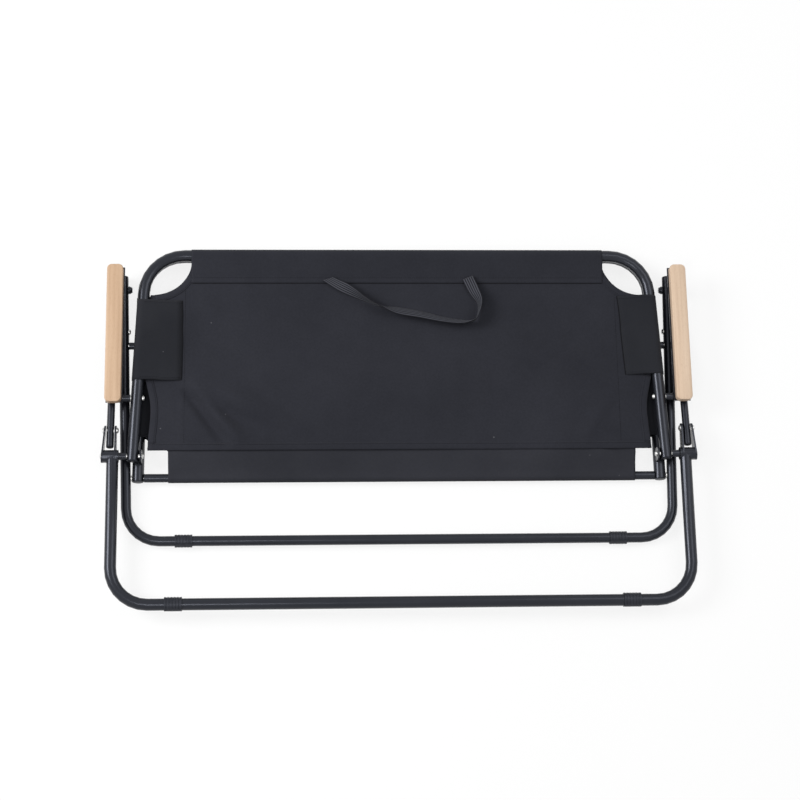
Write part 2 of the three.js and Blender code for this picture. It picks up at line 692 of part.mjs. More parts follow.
woodBlank.translate(WOOD_X, WOOD_Y, WOOD_Z + WOOD_EDGE);
addPair('armrest_wood', toGeometry(cutAway(toSolid(woodBlank), screwHoles)), beech);

screwSpots.forEach((spot, index) => {
  const under = -SEAT_GAP;
  const tip = RAIL_THICKNESS + SEAT_GAP + SCREW_DEPTH;
  addPair(`armrest_screw_${index === 0 ? 'rear' : 'front'}`, uprightTurned([
    [under - SCREW_RADIUS, 0],
    [under - SCREW_RADIUS, SCREW_HEAD_RADIUS * SCREW_HEAD_TAPER],
    [under, SCREW_HEAD_RADIUS],
    [under, SCREW_RADIUS],
    [tip, SCREW_RADIUS],
    [tip, 0],
  ], WOOD_X, spot, RAIL_Z), zinc);
});

// Cloth panels, drawn flat: narrower at the hem, with the front corners cut clear of the tube bends
function panel(sideX, hem, widest, bar, bend, z) {
  const edge = (y) => sideX(y) - TUBE_RADIUS - HEAD_HEIGHT - CLOTH_GAP;
  const front = bar - TUBE_RADIUS - SEAT_GAP;
  const cut = bar - bend;
  const halfOutline = [
    [hem.halfWidth, hem.y],
    [edge(widest), widest],
    [edge(cut), cut],
    [edge(front) - bend, front],
  ];
  const otherHalf = halfOutline.map(([x, y]) => [-x, y]).reverse();
  const shape = new THREE.Shape([...halfOutline, ...otherHalf].map(([x, y]) => new THREE.Vector2(x, y)));
  const geometry = new THREE.ExtrudeGeometry(shape, { depth: CLOTH_THICKNESS, bevelEnabled: false });
  geometry.translate(0, 0, z - CLOTH_THICKNESS / 2);
  return geometry;
}
const seatHem = { y: -REAR_ROD_SETBACK + ROD_RADIUS + SEAT_GAP, halfWidth: STRIP_HALF_WIDTH };
const backHem = { y: BACK_HEM, halfWidth: BACK_HEM_HALF_WIDTH };
add('seat_panel', panel(seatX, seatHem, SEAT_FULL_WIDTH_AT, SEAT_DEPTH, SEAT_BEND, SEAT_Z), cloth);
add('back_panel', panel(backX, backHem, BACK_FULL_WIDTH_AT, BACK_HEIGHT, BACK_BEND, BACK_Z), cloth);

const stripRear = -REAR_ROD_SETBACK - ROD_RADIUS;
const strip = new THREE.BoxGeometry(2 * STRIP_HALF_WIDTH, STRIP_FRONT - stripRear, STRIP_THICKNESS);
strip.translate(0, (STRIP_FRONT + stripRear) / 2, SEAT_Z + ROD_RADIUS + SEAT_GAP + STRIP_THICKNESS / 2);
add('rear_strip', strip, cloth);

// Carry strap of webbing, lying in a loose loop on the back panel
function ribbonOutline(route, width, steps) {
  const places = route.map(([x, y]) => new THREE.Vector3(x, y, 0));
  const line = new THREE.CatmullRomCurve3(places, false, 'centripetal');
  const leftEdge = [];
  const rightEdge = [];
  for (let i = 0; i <= steps; i += 1) {
    const point = line.getPointAt(i / steps);
    const tangent = line.getTangentAt(i / steps);
    const across = new THREE.Vector2(-tangent.y, tangent.x).multiplyScalar(width / 2);
    leftEdge.push(new THREE.Vector2(point.x + across.x, point.y + across.y));
    rightEdge.push(new THREE.Vector2(point.x - across.x, point.y - across.y));
  }
  return new THREE.Shape([...rightEdge, ...leftEdge.reverse()]);
}
const ribbon = ribbonOutline(STRAP_ROUTE, STRAP_WIDTH, STRAP_STEPS);
const strap = new THREE.ExtrudeGeometry(ribbon, { depth: STRAP_THICKNESS, bevelEnabled: false });
strap.translate(0, 0, BACK_Z + CLOTH_THICKNESS / 2 + SEAT_GAP);
add('carry_strap', strap, webbing);

// Centre the folded chair over its own footprint
const box = new THREE.Box3().setFromObject(loveseat);
loveseat.position.y = -(box.min.y + box.max.y) / 2;

export default loveseat;
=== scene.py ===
"""Looks for a folding camping loveseat that lies folded flat, with the rear of its backrest up."""

import json
import math

import bmesh
import bpy
from mathutils import Matrix, Quaternion, Vector, noise


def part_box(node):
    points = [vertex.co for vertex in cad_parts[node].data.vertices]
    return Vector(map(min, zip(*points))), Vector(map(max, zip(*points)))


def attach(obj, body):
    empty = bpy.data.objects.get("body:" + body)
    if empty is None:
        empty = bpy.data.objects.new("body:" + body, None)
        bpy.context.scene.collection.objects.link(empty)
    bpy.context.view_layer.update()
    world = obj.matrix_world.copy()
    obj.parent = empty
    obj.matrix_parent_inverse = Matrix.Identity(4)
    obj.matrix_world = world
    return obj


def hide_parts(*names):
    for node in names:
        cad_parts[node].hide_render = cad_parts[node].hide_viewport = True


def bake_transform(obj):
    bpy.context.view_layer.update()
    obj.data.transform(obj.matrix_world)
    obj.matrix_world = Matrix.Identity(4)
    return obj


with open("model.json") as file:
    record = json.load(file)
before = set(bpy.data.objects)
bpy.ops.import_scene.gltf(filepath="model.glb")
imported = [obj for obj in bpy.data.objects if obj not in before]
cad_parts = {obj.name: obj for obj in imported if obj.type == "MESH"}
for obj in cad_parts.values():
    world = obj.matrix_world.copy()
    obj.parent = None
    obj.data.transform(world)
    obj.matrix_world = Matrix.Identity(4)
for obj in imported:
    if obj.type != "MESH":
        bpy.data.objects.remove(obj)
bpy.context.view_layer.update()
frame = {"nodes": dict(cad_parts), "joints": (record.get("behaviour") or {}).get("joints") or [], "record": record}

# Lengths are in metres; MM turns a size in millimetres into metres
MM = 0.001
UP = Vector((0, 0, 1))
SIDES = {"left": -1, "right": 1}
pivots = {joint["name"]: Vector(joint["pos_m"]) for joint in frame["joints"]}
HINGE = pivots["back_fold"]
BACK_Z = HINGE.z
SEAT_Z = pivots["fold"].z


def middle(node):
    low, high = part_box(node)
    return (low + high) / 2


def along(y_mm):
    """A place given in millimetres forward of the back hinge, as the frame's y."""
    return HINGE.y + y_mm * MM


# Frame sizes that the cloth follows
TUBE = (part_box("back_frame")[1].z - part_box("back_frame")[0].z) / 2
ROD = (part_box("seat_rear_rod")[1].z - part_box("seat_rear_rod")[0].z) / 2
ROD_Y = middle("seat_rear_rod").y
BACK_BAR_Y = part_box("back_frame")[1].y - TUBE
SEAT_BAR_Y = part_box("seat_frame")[1].y - TUBE
BACK_TAPER = 0.0496
SEAT_TAPER = 0.0118


def tube_line(node, taper):
    """The half width of a frame's side tube as a function of y; the tube's foot is its widest place."""
    low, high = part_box(node)
    return lambda y: high.x - TUBE - taper * (y - low.y)


back_x = tube_line("back_frame", BACK_TAPER)
seat_x = tube_line("seat_frame", SEAT_TAPER)

# Cloth sizes
CLOTH = 0.9 * MM
SLEEVE_EASE = 0.55 * MM
SLEEVE = TUBE + SLEEVE_EASE
SLEEVE_HALF_WIDTH = 391 * MM
LAP = 1.3 * MM
LAP_HEM = 10 * MM
EDGE_GAP = 1.5 * MM
HEM_WIDTH = 13 * MM
HEM_LIFT = 1 * MM
CORNER_CUT = Vector((72, 66)) * MM
COLUMNS = 201

# Camera: the photo looks down on the chair, from the side of its legs and a little from its left
CAMERA_ELEVATION = math.radians(75.7)
CAMERA_DISTANCE = 3.384
CAMERA_ASIDE = -0.2
CAMERA_LENS = 81.65
CAMERA_SENSOR = 36
CAMERA_ROLL = math.radians(-1.06)
CAMERA_TARGET = Vector((-0.001, along(105), BACK_Z))


def make_camera():
    data = bpy.data.cameras.new("camera")
    data.lens = CAMERA_LENS
    data.sensor_width = CAMERA_SENSOR
    camera = bpy.data.objects.new("camera", data)
    rise = Vector((0, -math.cos(CAMERA_ELEVATION), math.sin(CAMERA_ELEVATION)))
    camera.location = CAMERA_TARGET + rise * CAMERA_DISTANCE + Vector((CAMERA_ASIDE, 0, 0))
    backward = (camera.location - CAMERA_TARGET).normalized()
    right = Vector((0, 1, 0)).cross(backward).normalized()
    level = Matrix((right, backward.cross(right), backward)).transposed()
    camera.rotation_mode = "QUATERNION"
    camera.rotation_quaternion = level.to_quaternion() @ Quaternion((0, 0, 1), CAMERA_ROLL)
    bpy.context.scene.collection.objects.link(camera)
    bpy.context.scene.camera = camera


# Materials: texture scales are per metre, or over the whole ribbon for the webbing's rib and yarn patterns
WHITE = (1, 1, 1)
PAINT_SHINE = {"Specular_Tint": (0.82, 0.86, 1, 1), "Specular_IOR_Level": 0.34}
CLOTH_SHINE = 0.15
WEAVE_PITCH = 1.1 * MM
WEAVE_WOBBLE = 0.4
LINT_COLOR = (0.09, 0.09, 0.10, 1)
LINT_SCALE = 34.0
LINT_SIZE = 0.045
LINT_RARITY = 0.86
# The webbing's rib count puts a dark rib valley of the painted shade at each edge of the strap.
RIB_SCALE = 1.57
YARN_SCALE = 60.0
GRAIN_STRETCH = (160, 5, 160)
FLECK_STRETCH = (900, 110, 900)


def material(name, color, roughness, **sockets):
    """A new material with plain values set on its shader; also its tree, shader and place coordinates."""
    made = bpy.data.materials.new(name)
    made.use_nodes = True
    tree = made.node_tree
    shader = tree.nodes["Principled BSDF"]
    shader.inputs["Base Color"].default_value = (*color, 1)
    shader.inputs["Roughness"].default_value = roughness
    for socket, value in sockets.items():
        shader.inputs[socket.replace("_", " ")].default_value = value
    place = tree.nodes.new("ShaderNodeTexCoord").outputs["Object"]
    return made, tree, shader, place


def node(tree, kind, values=(), links=()):
    """Adds a node, sets its options and plain inputs, and links its other inputs."""
    made = tree.nodes.new(kind)
    for key, value in dict(values).items():
        if isinstance(key, int) or key in made.inputs:
            made.inputs[key].default_value = value
        else:
            setattr(made, key, value)
    for key, output in dict(links).items():
        tree.links.new(output, made.inputs[key])
    return made


def maths(tree, operation, first, second):
    """One value from two, the second of which may be a plain number."""
    if isinstance(second, float):
        made = node(tree, "ShaderNodeMath", {"operation": operation, 1: second}, {0: first})
    else:
        made = node(tree, "ShaderNodeMath", {"operation": operation}, {0: first, 1: second})
    return made.outputs[0]


def stretched(tree, place, scale):
    return node(tree, "ShaderNodeMapping", {"Scale": scale}, {"Vector": place}).outputs["Vector"]


def cloudy(tree, place, scale, detail=3.0):
    values = {"Scale": scale, "Detail": detail}
    return node(tree, "ShaderNodeTexNoise", values, {"Vector": place}).outputs["Fac"]


def waves(tree, place, scale, direction, distortion=0.0):
    values = {"Scale": scale, "bands_direction": direction, "Distortion": distortion}
    return node(tree, "ShaderNodeTexWave", values, {"Vector": place}).outputs["Fac"]


def ramp(tree, value, low, high, dark, light):
    """Maps a value between low and high to a colour between dark and light."""
    made = node(tree, "ShaderNodeValToRGB", {}, {"Fac": value})
    first, last = made.color_ramp.elements
    first.position, last.position = low, high
    first.color, last.color = (*dark, 1), (*light, 1)
    return made.outputs["Color"]


def mixed(tree, first, second, factor=None, blend="MIX"):
    """One colour from two, the second of which may be plain; without a factor it works in full."""
    made = node(tree, "ShaderNodeMix", {"data_type": "RGBA", "blend_type": blend, "Factor": 1.0})
    factor_in, first_in, second_in = (made.inputs[i] for i in (0, 6, 7))
    tree.links.new(first, first_in)
    if isinstance(second, tuple):
        second_in.default_value = second
    else:
        tree.links.new(second, second_in)
    if factor is not None:
        tree.links.new(factor, factor_in)
    return made.outputs[2]


def tint(tree, shader, color):
    tree.links.new(color, shader.inputs["Base Color"])


def bump(tree, shader, height, distance, strength, under=None):
    links = {"Height": height}
    if under is not None:
        links["Normal"] = under
    made = node(tree, "ShaderNodeBump", {"Distance": distance, "Strength": strength}, links)
    tree.links.new(made.outputs["Normal"], shader.inputs["Normal"])
    return made.outputs["Normal"]


def roughen(tree, shader, value, low, high):
    """Drives a shader's roughness from low to high by a texture."""
    made = node(tree, "ShaderNodeMapRange", {"To Min": low, "To Max": high}, {"Value": value})
    tree.links.new(made.outputs["Result"], shader.inputs["Roughness"])


def powder_coat():
    made, tree, shader, place = material("powder_coat", (0.010, 0.011, 0.014), roughness=0.36, **PAINT_SHINE)
    clouds = cloudy(tree, place, scale=14)
    tint(tree, shader, ramp(
        tree, clouds, low=0.3, high=0.75, dark=(0.009, 0.010, 0.013), light=(0.015, 0.016, 0.020)
    ))
    roughen(tree, shader, cloudy(tree, place, scale=60), low=0.18, high=0.28)
    bump(tree, shader, cloudy(tree, place, scale=1300, detail=2), distance=0.0002, strength=0.25)
    return made


def woven(name, dark, light, mottle):
    """Plain-weave polyester: crossed threads, soft shade changes, fine mottling and a few specks of lint."""
    made, tree, shader, place = material(
        name, light, roughness=0.82, Specular_IOR_Level=CLOTH_SHINE, Sheen_Weight=0.04, Sheen_Roughness=0.6
    )
    shade = ramp(tree, cloudy(tree, place, scale=6, detail=4), low=0.25, high=0.8, dark=dark, light=light)
    grains = cloudy(tree, place, scale=240, detail=2)
    mottled = ramp(tree, grains, low=0.3, high=0.7, dark=(mottle, mottle, mottle), light=WHITE)
    toned = mixed(tree, shade, mottled, blend="MULTIPLY")
    specks = node(tree, "ShaderNodeTexVoronoi", {"Scale": LINT_SCALE, "Randomness": 1.0}, {"Vector": place})
    lint = maths(tree, "LESS_THAN", specks.outputs["Distance"], LINT_SIZE)
    chosen = node(tree, "ShaderNodeSeparateColor", {}, {"Color": specks.outputs["Color"]})
    rare = maths(tree, "GREATER_THAN", chosen.outputs["Red"], LINT_RARITY)
    tint(tree, shader, mixed(tree, toned, LINT_COLOR, maths(tree, "MULTIPLY", lint, rare)))
    roughen(tree, shader, cloudy(tree, place, scale=30), low=0.74, high=0.9)
    warp, weft = (waves(tree, place, 1 / (math.pi * WEAVE_PITCH), way, WEAVE_WOBBLE) for way in ("X", "Y"))
    fine = bump(tree, shader, maths(tree, "MULTIPLY", warp, weft), distance=0.0002, strength=0.35)
    bump(tree, shader, cloudy(tree, place, scale=45), distance=0.001, strength=0.25, under=fine)
    return made


def webbing():
    """Ribbed ribbon: the rib pattern runs along u, which is the ribbon's length; its colour, darkest in the rib
    valleys and along both edges, is painted shade.
    """
    made, tree, shader, _ = material(
        "webbing", (0.02, 0.02, 0.025), roughness=0.75, Specular_IOR_Level=CLOTH_SHINE, Sheen_Weight=0.03
    )
    place = tree.nodes["Texture Coordinate"].outputs["UV"]
    ribs_and_painted_shade = waves(tree, place, RIB_SCALE, "Y")
    yarn = waves(tree, place, YARN_SCALE, "X")
    # The rib colour runs from near black to dark grey: painted shade in the rib valleys and along both edges.
    tint(tree, shader, ramp(
        tree, ribs_and_painted_shade, low=0.1, high=0.9, dark=(0.008, 0.008, 0.011), light=(0.066, 0.069, 0.084)
    ))
    bump(tree, shader, maths(tree, "ADD", ribs_and_painted_shade, yarn), distance=0.0008, strength=0.6)
    return made


def beech(name, dark, light):
    """Pale straight-grained wood: long streaks and short flecks along y."""
    made, tree, shader, place = material(name, light, roughness=0.5)
    streak = cloudy(tree, stretched(tree, place, GRAIN_STRETCH), scale=1, detail=5)
    shade = ramp(tree, streak, low=0.3, high=0.72, dark=dark, light=light)
    flecks = {"Vector": stretched(tree, place, FLECK_STRETCH)}
    fleck = node(tree, "ShaderNodeTexVoronoi", {"Scale": 1.0}, flecks).outputs["Distance"]
    dash = ramp(tree, fleck, low=0.05, high=0.3, dark=(0.78, 0.72, 0.66), light=WHITE)
    tint(tree, shader, mixed(tree, shade, dash, blend="MULTIPLY"))
    roughen(tree, shader, streak, low=0.42, high=0.6)
    bump(tree, shader, fleck, distance=0.0002, strength=0.2)
    return made


def zinc():
    made, tree, shader, place = material("zinc", (0.66, 0.66, 0.65), roughness=0.3, Metallic=1.0)
    roughen(tree, shader, cloudy(tree, place, scale=900, detail=4), low=0.2, high=0.42)
    bump(tree, shader, cloudy(tree, place, scale=1500, detail=2), distance=0.0001, strength=0.2)
    return made


def rubber():
    made, tree, shader, place = material("rubber", (0.016, 0.016, 0.018), roughness=0.4, **PAINT_SHINE)
    clouds = cloudy(tree, place, scale=90)
    tint(tree, shader, ramp(
        tree, clouds, low=0.3, high=0.7, dark=(0.010, 0.011, 0.014), light=(0.018, 0.019, 0.024)
    ))
    bump(tree, shader, cloudy(tree, place, scale=2200, detail=2), distance=0.0001, strength=0.35)
    return made


def thread(name, dark, light):
    made, tree, shader, place = material(name, light, roughness=0.8, Specular_IOR_Level=0.1)
    tint(tree, shader, ramp(tree, cloudy(tree, place, scale=400), low=0.3, high=0.7, dark=dark, light=light))
    return made


FINISH = {
    "painted_steel": powder_coat(),
    "zinc": zinc(),
    "rubber": rubber(),
    "cloth": woven("cloth", (0.014, 0.015, 0.021), (0.022, 0.023, 0.031), mottle=0.84),
    "webbing": webbing(),
    "beech": beech("beech", (0.460, 0.300, 0.187), (0.580, 0.405, 0.267)),
}
# The right armrest gets a lighter, less saturated copy of the beech.
NODE_FINISH = {"armrest_wood_right": beech("pale_beech", (0.553, 0.398, 0.278), (0.700, 0.538, 0.399))}
# The flaps' cloth is a darker copy of the panel cloth: painted shade.
FLAP_CLOTH_PAINTED_SHADE = woven("flap_cloth_painted_shade", (0.010, 0.011, 0.015), (0.018, 0.019, 0.024), mottle=0.9)
# The rear strip's cloth is a lighter copy of the panel cloth: painted light.
STRIP_CLOTH_PAINTED_LIGHT = woven("strip_cloth_painted_light", (0.018, 0.019, 0.025), (0.029, 0.030, 0.038), mottle=0.9)
# Stitch thread is near black: painted shade of the grooves along the stitch lines.
THREAD_PAINTED_SHADE = thread("thread", (0.003, 0.003, 0.004), (0.008, 0.008, 0.010))
# A near-black cord along folded edges: painted shadow of the gap under each edge.
SHADOW_CORD = thread("shadow_cord", (0.004, 0.004, 0.005), (0.009, 0.009, 0.011))

# CAD nodes: the pieces that stay get their finish, and a smooth surface between their real edges
SMOOTH_ANGLE = math.radians(35)
WELD_DISTANCE = 0.005 * MM


def smoothing_group():
    group = bpy.data.node_groups.new("smooth_by_angle", "GeometryNodeTree")
    group.interface.new_socket("Geometry", in_out="INPUT", socket_type="NodeSocketGeometry")
    group.interface.new_socket("Geometry", in_out="OUTPUT", socket_type="NodeSocketGeometry")
    shape = group.nodes.new("NodeGroupInput").outputs[0]
    steps = [
        ("GeometryNodeMergeByDistance", {"Distance": WELD_DISTANCE}),
        ("GeometryNodeRemoveAttribute", {"Name": "custom_normal"}),
        ("GeometryNodeSetShadeSmooth", {"domain": "FACE", "Shade Smooth": True}),
    ]
    for kind, values in steps:
        shape = node(group, kind, values, {"Geometry": shape}).outputs[0]
    angle = node(group, "GeometryNodeInputMeshEdgeAngle").outputs["Unsigned Angle"]
    compare = {"operation": "GREATER_THAN", "B": SMOOTH_ANGLE}
    sharp = node(group, "FunctionNodeCompare", compare, {"A": angle}).outputs[0]
    hard = {"domain": "EDGE", "Shade Smooth": False}
    edged = node(group, "GeometryNodeSetShadeSmooth", hard, {"Geometry": shape, "Selection": sharp})
    group.links.new(edged.outputs[0], group.nodes.new("NodeGroupOutput").inputs[0])
    return group


def finish_cad():
    group = smoothing_group()
    for entry in frame["record"]["subparts"]:
        piece = frame["nodes"][entry["node"]]
        piece.data.materials.clear()
        own_finish = NODE_FINISH.get(entry["node"], FINISH[entry["material_slot"]])
        piece.data.materials.append(own_finish)
        piece.modifiers.new("smooth", "NODES").node_group = group


# Sheets: grids of points, with thickness
def mesh_object(name, mesh):
    data = bpy.data.meshes.new(name)
    mesh.to_mesh(data)
    mesh.free()
    piece = bpy.data.objects.new(name, data)
    bpy.context.scene.collection.objects.link(piece)
    return piece


def grid(name, patches, uv=False):
    """A mesh of patches; a patch is rows of points, each row as long as the others."""
    mesh = bmesh.new()
    layer = mesh.loops.layers.uv.new() if uv else None
    for rows in patches:
        corners = [[mesh.verts.new(point) for point in row] for row in rows]
        last_row, last_column = len(rows) - 1, len(rows[0]) - 1
        for r in range(last_row):
            for c in range(last_column):
                ring = ((r, c), (r, c + 1), (r + 1, c + 1), (r + 1, c))
                face = mesh.faces.new([corners[i][j] for i, j in ring])
                face.smooth = True
                if layer is not None:
                    for loop, (i, j) in zip(face.loops, ring):
                        loop[layer].uv = (i / last_row, j / last_column)
    return mesh_object(name, mesh)


def thicken(piece, thickness):
    """Gives a sheet its thickness, half to each side, as part of its mesh."""
    skin = piece.modifiers.new("thickness", "SOLIDIFY")
    skin.thickness = thickness
    skin.offset = 0
    bpy.context.view_layer.update()
    final = bpy.data.meshes.new_from_object(piece.evaluated_get(bpy.context.evaluated_depsgraph_get()))
    piece.modifiers.clear()
    piece.data = final


def path_length(points):
    return sum((b - a).length for a, b in zip(points, points[1:]))


def cloth_piece(name, rows, body, trims=(), replaces=None, cloth=FINISH["cloth"]):
    """A stretched sheet from its rows; trims go with it."""
    piece = grid(name, [rows])
    width = max(path_length(row) for row in rows)
    length = max(path_length(column) for column in zip(*rows))
    thicken(piece, CLOTH)
    piece.data.materials.append(cloth)
    if replaces is not None:
        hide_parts(replaces)
    if body is not None:
        for part in (piece, *trims):
            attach(part, body)
    return piece


def hems(name, patches):
    piece = grid(name, patches)
    thicken(piece, CLOTH)
    piece.data.materials.append(FINISH["cloth"])
    return piece


# Curves and soft forms
def curve_through(points, value):
    """Reads a smooth curve through (value, height) points."""
    i = 0
    while i < len(points) - 2 and value > points[i + 1][0]:
        i += 1
    (a, low), (b, high) = points[i], points[i + 1]
    before = points[max(i - 1, 0)]
    after = points[min(i + 2, len(points) - 1)]
    span = b - a
    leaving = (high - before[1]) / (b - before[0]) * span
    arriving = (after[1] - low) / (after[0] - a) * span
    t = min(max((value - a) / span, 0.0), 1.0)
    return low + (high - low) * ease(t) + leaving * t * (1 - t) ** 2 - arriving * t * t * (1 - t)


def ease(value):
    """Goes smoothly from 0 to 1 as the value does."""
    t = min(max(value, 0.0), 1.0)
    return t * t * (3 - 2 * t)


def spread(low, high, count):
    return [low + (high - low) * i / (count - 1) for i in range(count)]


def rumple(x, y, size, depth, seed):
    return depth * noise.noise(Vector((x / size, y / size, seed)))


def crease(x, y, start, end, width, height):
    """A soft ridge from start to end that fades at both ends."""
    a, b, p = Vector(start), Vector(end), Vector((x, y))
    t = (p - a).dot(b - a) / (b - a).length_squared
    off = (p - a - (b - a) * t).length
    fade = max(0.0, 1 - (2 * t - 1) ** 2)
    return height * fade * math.exp(-((off / width) ** 2))


def add_creases(height, x, y, creases):
    """A height with creases added that are given in millimetres: start, end, width and rise."""
    for (ax, ay), (bx, by), width, rise in creases:
        height += crease(x, y, (ax * MM, along(ay)), (bx * MM, along(by)), width * MM, rise * MM)
    return height


# Panels: how far soft forms keep off the edges, the size and depth of rumples, gaps, and counts of points
CALM_SIDE = 45 * MM
CALM_SEAM = 25 * MM
WIDE_RUMPLE = (0.21, 1.5 * MM)
FINE_RUMPLE = (0.06, 0.5 * MM)
FINE_SEED_STEP = 4
CUT_GAP = 1 * MM
TURNED_EDGE = 0.6 * MM
HEM_END_GAP = 1 * MM
SIDE_END_GAP = 2 * MM
LAP_END_GAP = 2 * MM
PANEL_ROWS = 78
CUT_ROWS = 18
SLEEVE_ROWS = 16
HEM_ROWS = 4
CORNER_ANGLES = (0.06, math.pi / 2)
CORNER_POINTS = 24
SIDE_POINTS = 26
HEM_POINTS = 90
SEAM_POINTS = 60

# A folded hem's section: how far in from the edge, and how high over the cloth
HEM_SECTION = [
    (-0.4 * MM, 0.2 * MM), (1 * MM, HEM_LIFT), (HEM_WIDTH * 0.9, HEM_LIFT), (HEM_WIDTH, HEM_LIFT / 2),
]


class Panel:
    """Cloth stretched on a bent tube: a hem, curved side cuts, round corner cuts and a sleeve on the bar.

    lap_side is 1 where the sleeve comes back over the panel's upper face, and -1 where it goes underneath.
    """

    def __init__(self, z, bar_y, side_x, hem, side_cut, seam, lap_side, flap_inner, creases, seed):
        self.z = z
        self.bar_y = bar_y
        self.side_x = side_x
        self.hem = along(hem)
        self.side_cut = [(along(place), inset * MM) for place, inset in side_cut]
        self.seam = along(seam)
        self.lap_side = lap_side
        self.flap_inner = flap_inner
        self.creases = creases
        self.seed = seed
        self.cut_top = bar_y - TUBE - CUT_GAP
        self.cut_start = self.cut_top - CORNER_CUT.y
        distance = bar_y - self.seam
        self.lean = math.asin(SLEEVE / distance)
        self.touch_y = bar_y - SLEEVE * math.sin(self.lean)

    def half_width(self, y):
        beside_tube = self.side_x(y) - TUBE - EDGE_GAP
        if y < self.side_cut[-1][0]:
            return beside_tube - curve_through(self.side_cut, y)
        if y > self.cut_top:
            return SLEEVE_HALF_WIDTH
        if y > self.cut_start:
            share = (self.cut_top - y) / CORNER_CUT.y
            return SLEEVE_HALF_WIDTH + CORNER_CUT.x * (1 - math.sqrt(1 - share * share))
        return beside_tube

    def parting(self, y):
        """How far each layer of the sleeve stands from the middle, between the seam and the bar."""
        return max(0.0, y - self.seam) * math.tan(self.lean)

    def height(self, x, y):
        """The height of the panel's main layer at a place."""
        if y > self.seam:
            return self.z - self.lap_side * self.parting(y)
        inner = self.half_width(y) if y < self.side_cut[-1][0] else self.flap_inner
        calm = ease((inner - abs(x)) / CALM_SIDE) * ease((self.seam - y) / CALM_SEAM)
        soft = rumple(x, y, *WIDE_RUMPLE, self.seed) + rumple(x, y, *FINE_RUMPLE, self.seed + FINE_SEED_STEP)
        return self.z + add_creases(soft, x, y, self.creases) * calm

    def lap_height(self, x, y):
        """The height of the sleeve's other layer, which lies on the main one below the seam."""
        apart = min(1.0, (self.touch_y - y) / (self.touch_y - self.seam))
        return self.height(x, y) + self.lap_side * (LAP * apart + 2 * self.parting(y))

    def row(self, y, half, height):
        return [Vector((x, y, height(x, y))) for x in spread(-half, half, COLUMNS)]

    def rows(self):
        """Rows from the turned hem up the panel, round the bar and back to the edge of the sleeve's lap."""
        quarter = spread(0, math.pi / 2, CUT_ROWS)[1:]
        cut = [self.cut_start + CORNER_CUT.y * (1 - math.cos(a)) for a in quarter]
        places = spread(self.hem, self.cut_start, PANEL_ROWS) + [y for y in cut if y < self.touch_y]
        places = sorted(places + [self.seam])
        turned = spread(self.hem + HEM_WIDTH, self.hem + TURNED_EDGE, HEM_ROWS)
        rows = [self.row(y, self.half_width(y), lambda x, y: self.height(x, y) - LAP) for y in turned]
        rows += [self.row(y, self.half_width(y), self.height) for y in places]
        half_turn = self.lap_side * (math.pi / 2 + self.lean)
        for a in spread(-half_turn, half_turn, SLEEVE_ROWS):
            level = self.z + SLEEVE * math.sin(a)
            rows.append(self.row(self.bar_y + SLEEVE * math.cos(a), SLEEVE_HALF_WIDTH, lambda x, y: level))
        sleeve = [y for y in reversed(places) if y > self.seam]
        sleeve += spread(self.seam, self.seam - LAP_HEM, HEM_ROWS)
        return rows + [self.row(y, SLEEVE_HALF_WIDTH, self.lap_height) for y in sleeve]

    def corner_line(self, side):
        """The round cut at one corner as (place, inward direction) pairs, from side tube to sleeve."""
        line = []
        for a in spread(*CORNER_ANGLES, CORNER_POINTS):
            out = Vector((-math.sin(a) * CORNER_CUT.y, math.cos(a) * CORNER_CUT.x)).normalized()
            x = SLEEVE_HALF_WIDTH + CORNER_CUT.x * (1 - math.sin(a))
            y = self.cut_top - CORNER_CUT.y * math.cos(a)
            line.append((Vector((side * x, y)), Vector((side * out.x, -out.y))))
        return line

    def side_line(self, side):
        """The curved cut under the flap as (place, inward direction) pairs."""
        line = []
        for y in spread(self.hem + HEM_WIDTH, self.side_cut[-1][0] - SIDE_END_GAP, SIDE_POINTS):
            slope = (self.half_width(y + MM) - self.half_width(y - MM)) / (2 * MM)
            inward = Vector((-side, slope)).normalized()
            line.append((Vector((side * self.half_width(y), y)), inward))
        return line

    def hem_line(self):
        """The hem's edge as (place, inward direction) pairs."""
        half = self.half_width(self.hem) - HEM_END_GAP
        return [(Vector((x, self.hem)), Vector((0, 1))) for x in spread(-half, half, HEM_POINTS)]

    def on_cloth(self, line, lift):
        return [Vector((p.x, p.y, self.height(p.x, p.y) + lift)) for p in line]

    def ribbon(self, line):
        """A folded hem along an edge: rows of points across the hem's width."""
        rows = []
        for place, inward in line:
            row = []
            for offset, lift in HEM_SECTION:
                row += self.on_cloth([place + inward * offset], lift)
            rows.append(row)
        return rows

    def lap_line(self, y, lift):
        """A line of points on the sleeve's lap, from end to end."""
        half = SLEEVE_HALF_WIDTH - LAP_END_GAP
        return self.row(y, half, lambda x, y: self.lap_height(x, y) + self.lap_side * lift)

    def upright_seam(self, x):
        """A line of points up the panel, from its hem to the sleeve's lap."""
        places = spread(self.hem + HEM_WIDTH, self.seam - LAP_HEM, SEAM_POINTS)
        return self.on_cloth([Vector((x, y)) for y in places], CLOTH / 2)


# Sewing: threads along the edges and seams, near black as painted shade, and a near-black cord as painted shadow
# along folded edges
STITCH_PITCH = 4.2 * MM
STITCH_LENGTH = 3.2 * MM
STITCH_INSET = 3 * MM
THREAD_RADIUS = 0.5 * MM
SHADOW_CORD_RADIUS = 0.8 * MM
SHADOW_CORD_SIDES = 6


def shadow_cord(name, line):
    """A near-black cord along a cut edge, painted shadow of the gap under that edge: a slim cord through a line of
    points.
    """
    rows = []
    for before, place, after in zip([line[0], *line], line, [*line[1:], line[-1]]):
        side = (after - before).cross(UP).normalized()
        turns = spread(0, 2 * math.pi, SHADOW_CORD_SIDES + 1)
        rows.append([place + SHADOW_CORD_RADIUS * (side * math.cos(a) + UP * math.sin(a)) for a in turns])
    piece = grid(name, [rows])
    piece.data.materials.append(SHADOW_CORD)
    return piece


